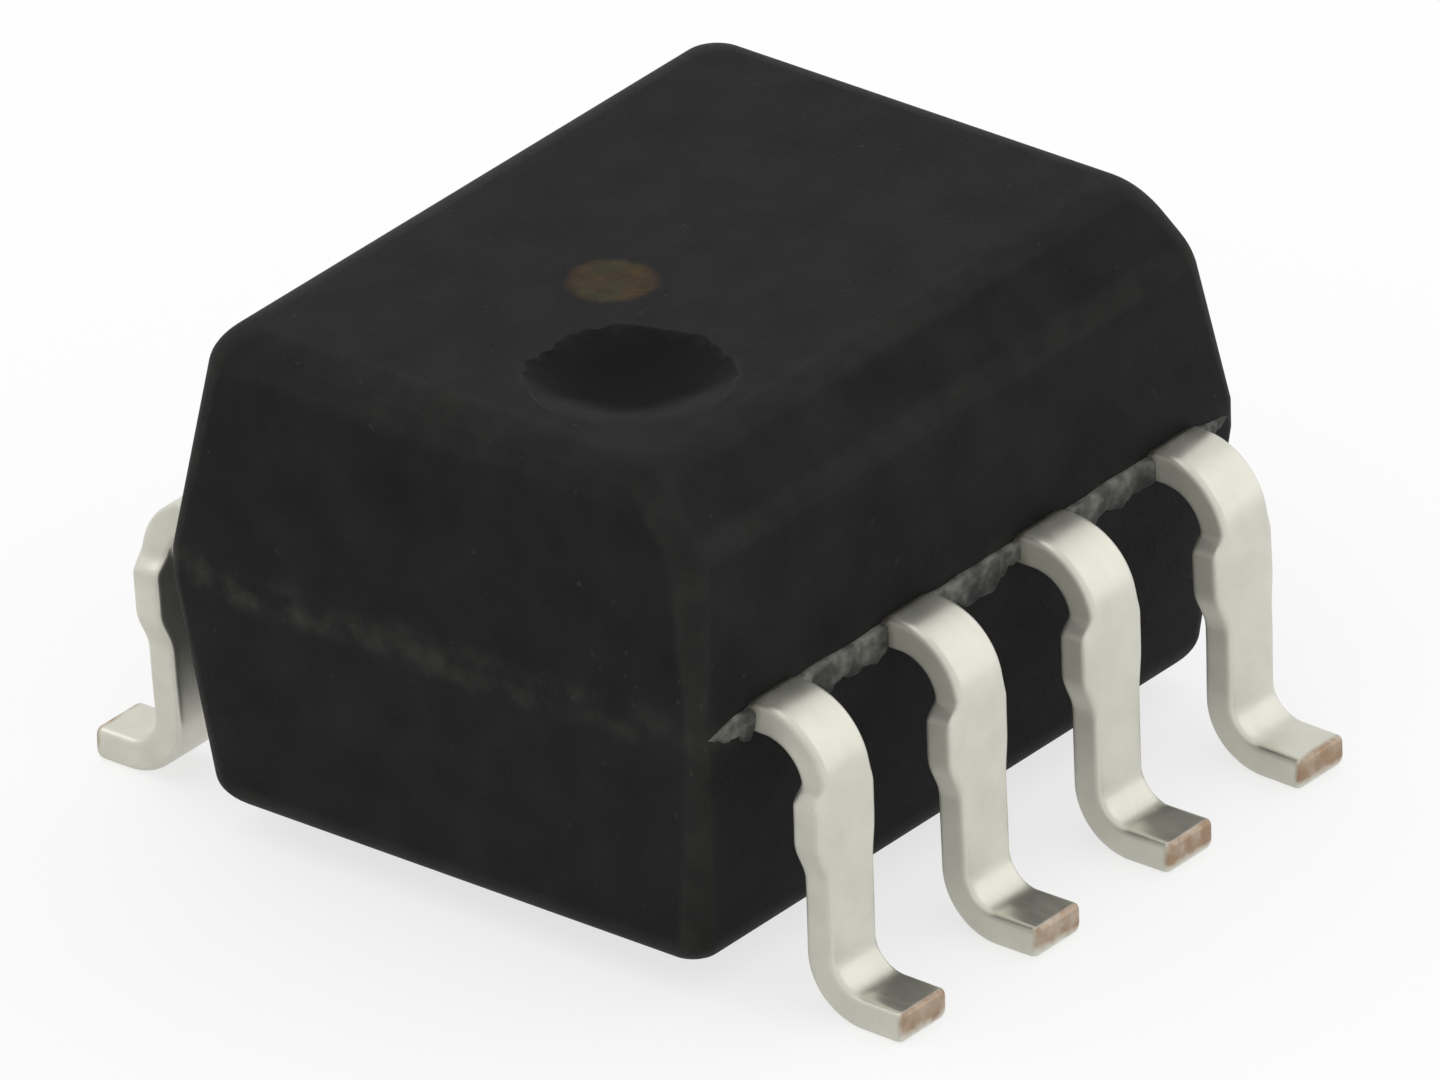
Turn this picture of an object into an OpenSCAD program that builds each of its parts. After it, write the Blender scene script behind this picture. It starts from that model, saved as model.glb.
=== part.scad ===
// Optocoupler in a moulded eight-lead small-outline package with gull-wing leads.
// X runs along the rows of leads, Y across them and Z up from the board.
// Pins 1 to 4 stand on the -Y side from -X to +X, and pins 5 to 8 on the +Y side from +X to -X.

/* [Moulded body] */
// Length of the body along the rows of leads, in millimetres
body_length = 5.13; // [4.9:0.01:5.6]
// Width of the body across the rows of leads
body_width = 3.95; // [3.7:0.01:4.4]
// Height of the body
body_height = 3.16; // [2.9:0.01:3.6]
// Air gap between the board and the underside of the body
standoff = 0.18; // [0.1:0.01:0.3]
// Depth of the lead plane below the top of the body
lead_plane_depth = 1.52; // [1.4:0.01:1.7]
// Draft of the faces above the leads, in degrees
draft_angle = 7; // [3:0.5:10]
// Draft of the faces below the leads, in degrees
lower_draft = 5.5; // [3:0.5:10]
// Radius of the moulded edges round the top and along the bevel
edge_radius = 0.26; // [0.1:0.01:0.35]
// Radius of the moulded edges round the underside
lower_radius = 0.21; // [0.1:0.01:0.35]
// Radius of the upright corners where the mould halves meet
corner_radius = 0.09; // [0.05:0.01:0.25]
// Width of the 45 degree bevel along the top edge beside pins 1 to 4
bevel_width = 0.37; // [0.3:0.01:0.5]
// How far the strips of flash between the leads stand out
flash_reach = 0.06; // [0.01:0.01:0.08]
/* [Index dimple] */
// Diameter of the round dimple in the top
dimple_diameter = 1.24; // [0.6:0.02:1.3]
// Depth of the dimple
dimple_depth = 0.25; // [0.05:0.01:0.4]
// Distance of the dimple's centre from the pin 1 end
dimple_from_end = 1.16; // [1.1:0.01:1.8]
// Distance of the dimple's centre from the pin 1 side
dimple_from_side = 1.37; // [1.35:0.01:2]
/* [Leads] */
// Pitch of the leads in a row
lead_pitch = 1.27; // [1.2:0.01:1.3]
// Width of a lead
lead_width = 0.41; // [0.3:0.01:0.48]
// Thickness of the lead frame
lead_thickness = 0.18; // [0.15:0.01:0.25]
// Distance between the tips of opposite leads
lead_span = 6.04; // [5.9:0.01:6.4]
// Straight length of a lead between the body and its shoulder
shoulder_length = 0.19; // [0.1:0.01:0.25]
// Inner radius of the bend at the shoulder
shoulder_radius = 0.17; // [0.1:0.01:0.25]
// Inner radius of the bend at the heel
heel_radius = 0.23; // [0.15:0.01:0.28]
// Outward lean of a leg from the vertical, in degrees
leg_lean = 0; // [-2:0.5:4]
// How far the trimmed ends of the dam bar stand out beside a leg, on the average of its two sides
stub_reach = 0.06; // [0.03:0.01:0.1]
// How much farther they stand out on the side of pins 1 and 8 than that average
stub_shift = 0.02; // [0:0.005:0.02]
// How far the trimmed ends stay inside the leg's two faces
stub_relief = 0.01; // [0.005:0.005:0.03]
// Height of the dam bar's trimmed ends
stub_height = 0.44; // [0.2:0.01:0.5]
// Height of the middle of the dam bar above the board
stub_level = 1.24; // [1.1:0.01:1.3]
/* [Lead frames inside] */
// Length of lead inside the body before its frame steps up or down
step_start = 0.3; // [0.2:0.01:0.4]
// Length of the sloping step
step_run = 0.45; // [0.3:0.01:0.5]
// Rise of the emitter frame and drop of the detector frame from the lead plane
frame_step = 0.55; // [0.5:0.01:0.65]
// Gap between neighbouring pieces of a frame
frame_gap = 0.2; // [0.15:0.01:0.25]
// Length inside the body of the two leads that carry nothing
anchor_length = 0.6; // [0.4:0.01:0.8]
// Width of the head that holds such a lead in the moulding, which is half as long
anchor_head = 0.64; // [0.5:0.01:0.7]
// Side of the square pad that carries the emitter
emitter_pad = 0.6; // [0.5:0.01:0.65]
// Length of the paddle that carries the detector
paddle_length = 1.5; // [1.4:0.01:1.6]
// Width of the paddle that carries the detector
paddle_width = 1.1; // [1:0.01:1.2]
// Width of the arms of pins 5 and 8 beside the paddle
arm_width = 0.46; // [0.3:0.01:0.6]
/* [Dies and wires] */
// Side of the square emitter die
emitter_size = 0.3; // [0.2:0.01:0.4]
// Thickness of the emitter die
emitter_height = 0.18; // [0.12:0.01:0.2]
// Length of the detector die
detector_length = 1.05; // [0.9:0.01:1.15]
// Width of the detector die
detector_width = 0.85; // [0.7:0.01:0.9]
// Thickness of the detector die
detector_height = 0.25; // [0.2:0.01:0.27]
// Thickness of the adhesive under a die
attach_height = 0.02; // [0.01:0.005:0.03]
// How far the adhesive shows around a die
attach_rim = 0.03; // [0.01:0.01:0.05]
// Diameter of the bond wires
wire_diameter = 0.03; // [0.02:0.005:0.04]
// Diameter of the ball and of the stitch at the ends of a wire
bond_diameter = 0.08; // [0.06:0.01:0.1]
// Height of the ball and of the stitch
bond_height = 0.02; // [0.015:0.005:0.03]
// Distance of a bond's middle from the edge of the die or lead that it stands on
bond_inset = 0.07; // [0.06:0.01:0.12]
/* [Insulation] */
// Thickness of the clear film between emitter and detector
film_thickness = 0.08; // [0.05:0.01:0.1]
// Distance that the wires keep from the film
wire_clearance = 0.05; // [0.03:0.01:0.07]
// Gel around the outermost bond of a frame
gel_cover = 0.1; // [0.08:0.01:0.15]
// Swell of the gel halfway up
gel_swell = 0.06; // [0.02:0.01:0.08]

/* [Hidden] */
$fn = 64;
ball_facets = 32;
// Thickness of the sheet at the root of each mould half
sheet_thickness = 0.01;
// How far a cut runs past the face that it opens on
cut_margin = 0.01;

half_length = body_length / 2;
half_width = body_width / 2;
body_top = standoff + body_height;
lead_plane = body_top - lead_plane_depth;
band_top = lead_plane + lead_thickness / 2;
band_bottom = lead_plane - lead_thickness / 2;

// Places of the leads along a row, counted from -X on the pin 1 side
lead_x = [for (i = [-1.5 : 1.5]) i * lead_pitch];

// Path of a lead outside the body, along the middle of its thickness
bend_steps = 12;
bend_turn = 90 - leg_lean;
shoulder_path = shoulder_radius + lead_thickness / 2;
heel_path = heel_radius + lead_thickness / 2;
shoulder_y = half_width + shoulder_length;
leg_drop = band_bottom - (shoulder_path + heel_path) * (1 - cos(bend_turn));
leg_length = leg_drop / sin(bend_turn);
leg_start = [
    shoulder_y + shoulder_path * sin(bend_turn),
    lead_plane - shoulder_path * (1 - cos(bend_turn))
];
leg_end = leg_start + leg_length * [cos(bend_turn), -sin(bend_turn)];
heel_y = leg_end[0] + heel_path * sin(bend_turn);
lead_tip = lead_span / 2;

// Levels of the two frames' inner ends, and where their flat parts begin
shelf_y = half_width - step_start - step_run;
emitter_face = lead_plane + frame_step - lead_thickness / 2;
detector_face = lead_plane - frame_step + lead_thickness / 2;
emitter_light = emitter_face - attach_height - emitter_height;
detector_light = detector_face + attach_height + detector_height;

// The film lies halfway between the two dies
film_bottom = (emitter_light + detector_light - film_thickness) / 2;
film_top = film_bottom + film_thickness;
film_length = 2 * (lead_x[3] - anchor_head / 2 - frame_gap);
film_width = 2 * shelf_y;

// Bonds on the detector die and on the leads, seen from the detector frame's own side
die_pad_x = detector_length / 2 - bond_inset;
die_pad_y = detector_width / 2 - bond_inset;
finger_end = -paddle_width / 2 - frame_gap;
finger_bond_y = finger_end - bond_inset;
arm_end = paddle_length / 2 + frame_gap;
arm_bond_x = arm_end + bond_inset;
ground_bond_x = -(paddle_length + detector_length) / 4;

emitter_gel_radius = lead_pitch / 2 + gel_cover;
detector_gel_radius = max(norm([lead_x[2], finger_bond_y]), arm_bond_x) + gel_cover;

body_grey = [0.17, 0.17, 0.18];
tin = [0.78, 0.77, 0.73];
die_grey = [0.3, 0.31, 0.36];
adhesive_grey = [0.75, 0.75, 0.78];
gold = [0.9, 0.7, 0.3];
gel_clear = [0.85, 0.9, 0.92, 0.5];
film_amber = [0.85, 0.6, 0.25, 0.6];

// Moulded body

// Middle of an edge rounding that touches a drafted face, at a height above or below the lead band
function inset(half, above, draft, radius) = half - (above * sin(draft) + radius) / cos(draft);
function upper_inset(half, above) = inset(half, above, draft_angle, edge_radius);
function lower_inset(half, below) = inset(half, below, lower_draft, lower_radius);

// One rounding ball at each end of the body
module ball_pair(x, y, z, radius) {
    for (side = [-1, 1])
        translate([side * x, y, z]) sphere(radius, $fn = ball_facets);
}

// Outline of the body at the level of the leads
module band_outline() {
    inner_x = half_length - corner_radius;
    inner_y = half_width - corner_radius;
    square([body_length, 2 * inner_y], center = true);
    square([2 * inner_x, body_width], center = true);
    for (x = [-inner_x, inner_x], y = [-inner_y, inner_y])
        translate([x, y]) circle(corner_radius, $fn = ball_facets);
}

// A sheet of the outline, from which each half of the mould tapers away
module band_sheet(z) {
    translate([0, 0, z]) linear_extrude(sheet_thickness, center = true) band_outline();
}

// Upper half: drafted on four sides, with the bevel on the pin 1 side
module upper_half() {
    ball_z = body_top - edge_radius;
    rise = ball_z - band_top;
    bevel_y = (body_top - band_top) * tan(draft_angle) - half_width + bevel_width;
    bevel_top_y = bevel_y + (sqrt(2) - 1) * edge_radius;
    // The bevel's lower ball touches the bevel and the drafted side
    bevel_low = (body_top - bevel_y - sqrt(2) * edge_radius - half_width - band_top * tan(draft_angle)
        + edge_radius / cos(draft_angle)) / (1 - tan(draft_angle));
    bevel_rise = bevel_low - band_top;
    end_x = upper_inset(half_length, rise);
    hull() {
        band_sheet(band_top);
        ball_pair(end_x, upper_inset(half_width, rise), ball_z, edge_radius);
        ball_pair(end_x, bevel_top_y, ball_z, edge_radius);
        ball_pair(upper_inset(half_length, bevel_rise), -upper_inset(half_width, bevel_rise), bevel_low,
            edge_radius);
    }
}

// Lower half: drafted on four sides
module lower_half() {
    ball_z = standoff + lower_radius;
    drop = band_bottom - ball_z;
    hull() {
        band_sheet(band_bottom);
        for (side = [-1, 1])
            ball_pair(lower_inset(half_length, drop), side * lower_inset(half_width, drop), ball_z,
                lower_radius);
    }
}

// Band of lead thickness where the mould halves meet, with the flash between the leads
module parting_band() {
    translate([0, 0, band_bottom]) linear_extrude(lead_thickness) {
        band_outline();
        square([3 * lead_pitch, body_width + 2 * flash_reach], center = true);
    }
}

// Round bowl, part of a ball that stands over the top
module index_dimple() {
    bowl_radius = (pow(dimple_diameter / 2, 2) + pow(dimple_depth, 2)) / (2 * dimple_depth);
    bowl_middle = body_top - dimple_depth + bowl_radius;
    translate([dimple_from_end - half_length, dimple_from_side - half_width, bowl_middle]) sphere(bowl_radius);
}

module moulded_body() {
    color(body_grey) difference() {
        union() {
            upper_half();
            lower_half();
            parting_band();
        }
        index_dimple();
        lead_1_spare();
        lead_2_anode();
        lead_3_cathode();
        lead_4_spare();
        lead_5_ground();
        lead_6_output();
        lead_7_base();
        lead_8_supply();
        emitter_drop();
        detector_drop();
        insulating_film();
    }
}

// Leads

// Stands a profile drawn in distance from the middle and height across the -Y side, as wide as given
module across_row(x, width) {
    translate([x, 0, 0]) rotate([90, 0, -90]) linear_extrude(width, center = true) children();
}

// Puts a piece drawn for the -Y side on the +Y side, so that pin 1's place becomes pin 5's
module opposite_row() {
    rotate([0, 0, 180]) children();
}

// Points along an arc, in even steps from one direction to another
function arc(middle, radius, from, to) =
    [for (k = [0 : bend_steps]) let (angle = from + (to - from) * k / bend_steps)
        middle + radius * [cos(angle), sin(angle)]];

// Gull-wing form of a lead: shoulder, leg, heel and foot, as one bent strip of even thickness
module bent_strip() {
    shoulder_middle = [shoulder_y, lead_plane - shoulder_path];
    heel_middle = [heel_y, heel_path + lead_thickness / 2];
    strip_end = max(lead_tip, heel_y) + cut_margin;
    polygon(concat(
        [[half_width - step_start, band_top]],
        arc(shoulder_middle, shoulder_radius + lead_thickness, 90, leg_lean),
        arc(heel_middle, heel_radius, 180 + leg_lean, 270),
        [[strip_end, lead_thickness], [strip_end, 0]],
        arc(heel_middle, heel_radius + lead_thickness, 270, 180 + leg_lean),
        arc(shoulder_middle, shoulder_radius, leg_lean, 90),
        [[half_width - step_start, band_bottom]]
    ));
}

// The bent strip, trimmed at the tip of the foot
module gull_wing() {
    intersection() {
        bent_strip();
        translate([0, -cut_margin]) square([lead_tip, body_top]);
    }
}

// Section of the trimmed dam bar on the leg: a little thinner than the leg, from the shearing
module dam_bar_section() {
    along = [cos(bend_turn), -sin(bend_turn)];
    across = (lead_thickness / 2 - stub_relief) * [sin(bend_turn), cos(bend_turn)];
    middle = leg_start + (leg_start[1] - stub_level) / sin(bend_turn) * along;
    top = middle - stub_height / 2 * along;
    low = middle + stub_height / 2 * along;
    polygon([top + across, low + across, low - across, top - across]);
}

// The part of a lead that shows, with the trimmed ends of the dam bar on its leg.
// These stand out farther on the given side, -1 for -X and 1 for +X.
module outer_lead(x, side) {
    across_row(x, lead_width) gull_wing();
    across_row(x + side * stub_shift, lead_width + 2 * stub_reach) dam_bar_section();
}

// Section of a frame inside the body: level with the leads, then a step and a flat shelf
module frame_section(step) {
    polygon([
        [half_width, band_bottom],
        [half_width, band_top],
        [half_width - step_start, band_top],
        [shelf_y, band_top + step],
        [-half_width, band_top + step],
        [-half_width, band_bottom + step],
        [shelf_y, band_bottom + step],
        [half_width - step_start, band_bottom]
    ]);
}

// A stepped piece of a frame, cut to the plan that is drawn in its children
module stepped_frame(step) {
    intersection() {
        across_row(0, body_length) frame_section(step);
        linear_extrude(body_top) children();
    }
}

// Plan of a straight lead from the side of the body to a distance across it
module lead_strip(x, end) {
    translate([x - lead_width / 2, -half_width]) square([lead_width, end + half_width]);
}

// A lead that carries nothing: its inner end is a wide head that the moulding grips
module anchor_lead(x) {
    color(tin) {
        outer_lead(x, -1);
        translate([0, 0, band_bottom]) linear_extrude(lead_thickness) {
            lead_strip(x, anchor_length - half_width);
            translate([x - anchor_head / 2, anchor_length - anchor_head / 2 - half_width])
                square([anchor_head, anchor_head / 2]);
        }
    }
}

module lead_1_spare() anchor_lead(lead_x[0]);

// Finger beside the emitter pad, to which the emitter's wire goes
module lead_2_anode() {
    color(tin) {
        outer_lead(lead_x[1], -1);
        stepped_frame(frame_step) lead_strip(lead_x[1], emitter_pad / 2);
    }
}

// Lead with the pad that carries the emitter, face down, in the middle of the package
module lead_3_cathode() {
    pad_end = lead_x[2] + lead_width / 2;
    color(tin) {
        outer_lead(lead_x[2], -1);
        stepped_frame(frame_step) {
            lead_strip(lead_x[2], emitter_pad / 2);
            translate([-emitter_pad / 2, -emitter_pad / 2])
                square([emitter_pad / 2 + pad_end, emitter_pad]);
        }
    }
}

module lead_4_spare() anchor_lead(lead_x[3]);

// Lead with the paddle that carries the detector, face up
module lead_5_ground() {
    arm_start = lead_x[0] - lead_width / 2;
    color(tin) opposite_row() {
        outer_lead(lead_x[0], 1);
        stepped_frame(-frame_step) {
            lead_strip(lead_x[0], arm_width / 2);
            translate([arm_start, -arm_width / 2]) square([-arm_start, arm_width]);
            square([paddle_length, paddle_width], center = true);
        }
    }
}

// Finger beside the paddle
module finger_lead(x) {
    color(tin) opposite_row() {
        outer_lead(x, 1);
        stepped_frame(-frame_step) lead_strip(x, finger_end);
    }
}

module lead_6_output() finger_lead(lead_x[1]);

module lead_7_base() finger_lead(lead_x[2]);

// Lead with an arm that reaches back to the end of the paddle
module lead_8_supply() {
    arm_start = lead_x[3] + lead_width / 2;
    color(tin) opposite_row() {
        outer_lead(lead_x[3], 1);
        stepped_frame(-frame_step) {
            lead_strip(lead_x[3], arm_width / 2);
            translate([arm_end, -arm_width / 2]) square([arm_start - arm_end, arm_width]);
        }
    }
}

// Dies and their adhesive

// A flat rectangular layer, centred on the package's middle
module layer(length, width, from, to) {
    translate([-length / 2, -width / 2, from]) cube([length, width, to - from]);
}

// The adhesives and the dies can reach past the faces that they stand on
module emitter_attach(past = 0) {
    side = emitter_size + 2 * attach_rim;
    color(adhesive_grey) layer(side, side, emitter_face - attach_height, emitter_face + past);
}

module emitter_die(past = 0) {
    back = emitter_light + emitter_height + past;
    color(die_grey) layer(emitter_size, emitter_size, emitter_light, back);
}

module detector_attach(past = 0) {
    color(adhesive_grey) layer(detector_length + 2 * attach_rim, detector_width + 2 * attach_rim,
        detector_face - past, detector_face + attach_height);
}

module detector_die(past = 0) {
    back = detector_light - detector_height - past;
    color(die_grey) layer(detector_length, detector_width, back, detector_light);
}

// Bond wires

wire_sides = 8;
wire_steps = 12;

// Half an ellipse from one bond to another: it leaves and lands square to the bonded faces
function wire_point(a, b, rise, turn) = a + (b - a) * (1 - cos(turn)) / 2 + [0, 0, rise * sin(turn)];
function wire_heading(a, b, rise, turn) = (b - a) * sin(turn) / 2 + [0, 0, rise * cos(turn)];
function unit(v) = v / norm(v);

// Ring of points square to the wire at one place on it
function wire_ring(a, b, rise, turn) =
    let (
        side = unit(cross([0, 0, 1], b - a)),
        over = cross(unit(wire_heading(a, b, rise, turn)), side),
        middle = wire_point(a, b, rise, turn)
    )
    [for (i = [0 : wire_sides - 1]) let (angle = 360 * i / wire_sides)
        middle + wire_diameter / 2 * (cos(angle) * side + sin(angle) * over)];

// Wire from a ball on a die to a stitch on a lead, bowed up or down by the given height over the die.
// Its two bonds can reach past the faces that they stand on.
module bond_wire(a, b, bow, past) {
    up = sign(bow);
    half_fall = abs(b[2] - a[2]) / 2;
    rise = up * sqrt(pow(abs(bow), 2) + 2 * abs(bow) * half_fall);
    points = [for (k = [0 : wire_steps]) each wire_ring(a, b, rise, 180 * k / wire_steps)];
    last = wire_sides * wire_steps;
    quads = [for (k = [0 : wire_steps - 1], i = [0 : wire_sides - 1])
        let (j = (i + 1) % wire_sides, row = wire_sides * k)
        [row + i, row + j, row + wire_sides + j, row + wire_sides + i]];
    sides = [for (q = quads) each [[q[2], q[1], q[0]], [q[3], q[2], q[0]]]];
    start_cap = [for (i = [0 : wire_sides - 1]) i];
    end_cap = [for (i = [wire_sides - 1 : -1 : 0]) last + i];
    color(gold) {
        polyhedron(points, concat(sides, [start_cap, end_cap]));
        for (p = [a, b])
            translate(p - [0, 0, up > 0 ? past : bond_height])
                cylinder(d = bond_diameter, h = bond_height + past);
    }
}

wire_reach = film_bottom - detector_light - wire_clearance - wire_diameter / 2;

module emitter_wire(past = 0) {
    bond_wire([0, 0, emitter_light], [lead_x[1], 0, emitter_face], -wire_reach, past);
}

// A wire of the detector, from a place on the die to a place on its frame
module detector_wire(pad, stitch, past) {
    ball = [pad[0], pad[1], detector_light];
    opposite_row() bond_wire(ball, [stitch[0], stitch[1], detector_face], wire_reach, past);
}

module output_wire(past = 0) detector_wire([-die_pad_x, -die_pad_y], [lead_x[1], finger_bond_y], past);

module base_wire(past = 0) detector_wire([die_pad_x, -die_pad_y], [lead_x[2], finger_bond_y], past);

module supply_wire(past = 0) detector_wire([die_pad_x, 0], [arm_bond_x, 0], past);

module ground_wire(past = 0) detector_wire([-die_pad_x, 0], [ground_bond_x, 0], past);

// Insulation and light guide

module insulating_film() {
    color(film_amber) layer(film_length, film_width, film_bottom, film_top);
}

// A drop of gel with flat ends and a side that swells in an arc
module gel_drop(radius, from, to) {
    height = to - from;
    arc_radius = (pow(height / 2, 2) + pow(gel_swell, 2)) / (2 * gel_swell);
    translate([0, 0, from]) rotate_extrude() {
        square([radius, height]);
        intersection() {
            translate([radius + gel_swell - arc_radius, height / 2]) circle(arc_radius);
            translate([radius / 2, 0]) square([radius, height]);
        }
    }
}

module emitter_drop() gel_drop(emitter_gel_radius, film_top, emitter_face);

module detector_drop() gel_drop(detector_gel_radius, detector_face, film_bottom);

module emitter_gel() {
    color(gel_clear) difference() {
        emitter_drop();
        emitter_attach(cut_margin);
        emitter_die(cut_margin);
        emitter_wire(cut_margin);
    }
}

module detector_gel() {
    color(gel_clear) difference() {
        detector_drop();
        detector_attach(cut_margin);
        detector_die(cut_margin);
        output_wire(cut_margin);
        base_wire(cut_margin);
        supply_wire(cut_margin);
        ground_wire(cut_margin);
    }
}

moulded_body();
lead_1_spare();
lead_2_anode();
lead_3_cathode();
lead_4_spare();
lead_5_ground();
lead_6_output();
lead_7_base();
lead_8_supply();
emitter_die();
emitter_attach();
emitter_wire();
emitter_gel();
detector_die();
detector_attach();
output_wire();
base_wire();
supply_wire();
ground_wire();
detector_gel();
insulating_film();
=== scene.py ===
"""Finishes an eight-lead optocoupler: its moulding, flash, formed leads and the pieces sealed inside."""

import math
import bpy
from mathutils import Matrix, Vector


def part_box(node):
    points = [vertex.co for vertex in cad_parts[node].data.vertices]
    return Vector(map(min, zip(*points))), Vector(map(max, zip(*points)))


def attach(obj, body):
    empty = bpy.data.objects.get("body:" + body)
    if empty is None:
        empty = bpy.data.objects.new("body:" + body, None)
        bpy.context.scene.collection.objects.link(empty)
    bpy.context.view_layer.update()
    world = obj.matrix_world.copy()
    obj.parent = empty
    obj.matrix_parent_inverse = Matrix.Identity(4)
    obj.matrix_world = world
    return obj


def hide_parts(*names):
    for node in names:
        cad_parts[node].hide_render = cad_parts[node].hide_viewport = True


bl_info = {
    "name": "Optocoupler finish",
    "version": (1, 0, 0),
    "blender": (4, 5, 0),
    "location": "View3D > Sidebar > Optocoupler",
    "description": "Moulding, flash, formed leads and inner pieces of an eight-lead optocoupler",
    "category": "Object",
}

import bpy
import numpy as np
from bpy.props import FloatProperty, FloatVectorProperty, PointerProperty
from mathutils import Matrix, Vector

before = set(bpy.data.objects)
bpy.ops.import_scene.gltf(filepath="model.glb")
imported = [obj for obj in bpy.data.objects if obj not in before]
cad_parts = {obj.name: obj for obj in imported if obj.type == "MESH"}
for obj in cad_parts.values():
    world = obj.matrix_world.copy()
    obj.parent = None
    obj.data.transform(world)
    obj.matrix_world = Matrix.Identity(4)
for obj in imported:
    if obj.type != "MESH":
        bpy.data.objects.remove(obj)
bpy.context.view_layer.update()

# Millimetres in the frame's metres
MM = 0.001

# Sizes that come from the frame
BODY_LOW, BODY_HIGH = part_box("moulded_body")
LEAD_NODES = sorted(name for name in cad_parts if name.startswith("lead_"))
FIRST_LOW, FIRST_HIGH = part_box(LEAD_NODES[0])
FOURTH_LOW, FOURTH_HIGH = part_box(LEAD_NODES[3])
ROW_COUNT = 4
BAND_TOP = FIRST_HIGH.z
LEAD_TIP = -FIRST_LOW.y
LEAD_PITCH = (FOURTH_LOW.x + FOURTH_HIGH.x - FIRST_LOW.x - FIRST_HIGH.x) / 2 / (ROW_COUNT - 1)
FRAME_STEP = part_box("lead_3_cathode")[1].z - BAND_TOP
ARM_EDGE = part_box("lead_8_supply")[0].y
WIRE_NODES = sorted(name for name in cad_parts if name.endswith("_wire"))

# The photograph's frame
PHOTO_WIDTH = 1440
SENSOR_WIDTH = 36.0

# Keeps a division by nothing from failing
TINY = 1e-30

# Edges that turn by more than this look sharp
SHARP_EDGE = math.radians(35)

# The last ring before a fan closes the moulding: a share of the underside, and an angle in the dimple
LAST_RING = 0.02

# Mesh of the moulding: turn between spokes, steps round an upright corner, and rings of its other parts
SPOKE_STEP = math.radians(1)
CORNER_STEPS = 12
UNDERSIDE_RINGS = 8
TOP_RINGS = 16
RIM_STEPS = 8
BOWL_STEPS = 25

# Waves of the dimple's steep rim: share of its raggedness, first and last count, seed, and the share of
# the depth over which they fade
RIM_WAVES = ((0.7, 10, 30, 3, 1 / 7), (0.8, 3, 9, 5, 1 / 2))

# Cosines to the dimple's steep side between which its wall passes from gentle to steep
GENTLE_TO_STEEP = (-0.8, 0.3)

# Share of the dimple's gentle ramp that each of its rounded ends takes
RAMP_END = 0.28

# Flash: steps along a strip, first seed, and the run over which it thins out away from a lead
FLASH_STEPS = 120
FLASH_SEED = 60
WEB_RUN = 0.07 * MM

# Shares of the flash's reach: between leads, added beside one, its wander, the least, and its rounding
PLAIN_REACH, WEB_REACH, REACH_WANDER, LEAST_REACH, FLASH_ROUND = 0.6, 0.4, 0.12, 0.02, 0.45

# Shares of the band's height: how far up the flash's lower edge ends, how far it hangs below that between
# leads, how much less beside a lead, and its coarse and fine wander
LOW_END, LOW_HANG, WEB_LIFT, LOW_WANDER, LOW_CRUMBLE = 0.4, 0.65, 0.35, 0.16, 0.035

# Shares of the band's height: drop of the flash's upper edge, what an end adds to it, and its wander
HIGH_DROP, HIGH_END, HIGH_WANDER = 0.12, 0.25, 0.03

# Mesh of the leads: step on straight runs, points on a bend, on a stub's end, on an eased end and on a
# trimmed tip, and the grid that distances are rounded to
LEAD_STEP = 0.03 * MM
BEND_POINTS = 28
STUB_POINTS = 11
EASE_POINTS = 7
TRIM_POINTS = 18
LEAD_GRID = 1e-4 * MM

# Runs over which a lead changes: at the end of its pad, at the upper and the lower end of a stub, and
# where the tin starts
PAD_RUN = 0.01 * MM
STUB_RUNS = np.array([0.14, 0.3]) * MM
TIN_RUN = 0.05 * MM

# How far a lead wanders sideways, and the first seed
LEAD_WANDER = 0.003 * MM
LEAD_SEED = 40

# Shares of the easing that an end takes off a lead's underside and outer face, and of a tip's drag
EASE_UNDER, EASE_OUTER, TRIM_RISE = 0.3, 0.7, 0.8

# Largest rounding of a lead's edges as a share of its thickness, and that of the paddle's corners
EDGE_SHARE = 0.45
PLATE_ROUND = 0.01 * MM

# Steps on the wide and the deep sides of a section, and round each of its corners
FLASH_SIDES, FLASH_CORNER = (8, 14), 6
LEAD_SIDES, LEAD_CORNER = (12, 6), 7
PLATE_SIDES, PLATE_CORNER = (8, 8), 3

# Values between which nearly all of a noise lies
NOISE_LOW, NOISE_HIGH = 0.3, 0.7

# Gap under the feet, and the share of the floor's own light where it is seen
FLOOR_GAP = 0.001 * MM
FLOOR_GLOW = 0.72

# Places and sides of the lamps, in metres
KEY_PLACE, KEY_SIZE = (-0.015, 0.115, 0.175), 0.18
FILL_PLACE, FILL_SIZE = (0.2, -0.12, 0.1), 0.28


def length(name, description, millimetres):
    """A size in the settings, with its default given in millimetres."""
    return FloatProperty(
        name=name, description=description, default=millimetres * MM, unit="LENGTH", precision=6
    )


def angle(name, description, degrees):
    """An angle in the settings, with its default given in degrees."""
    return FloatProperty(
        name=name, description=description, default=math.radians(degrees), subtype="ANGLE"
    )


def colour(name, description, value):
    """A colour in the settings, as linear red, green and blue."""
    return FloatVectorProperty(
        name=name, description=description, default=value, subtype="COLOR", min=0, max=1
    )


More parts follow.
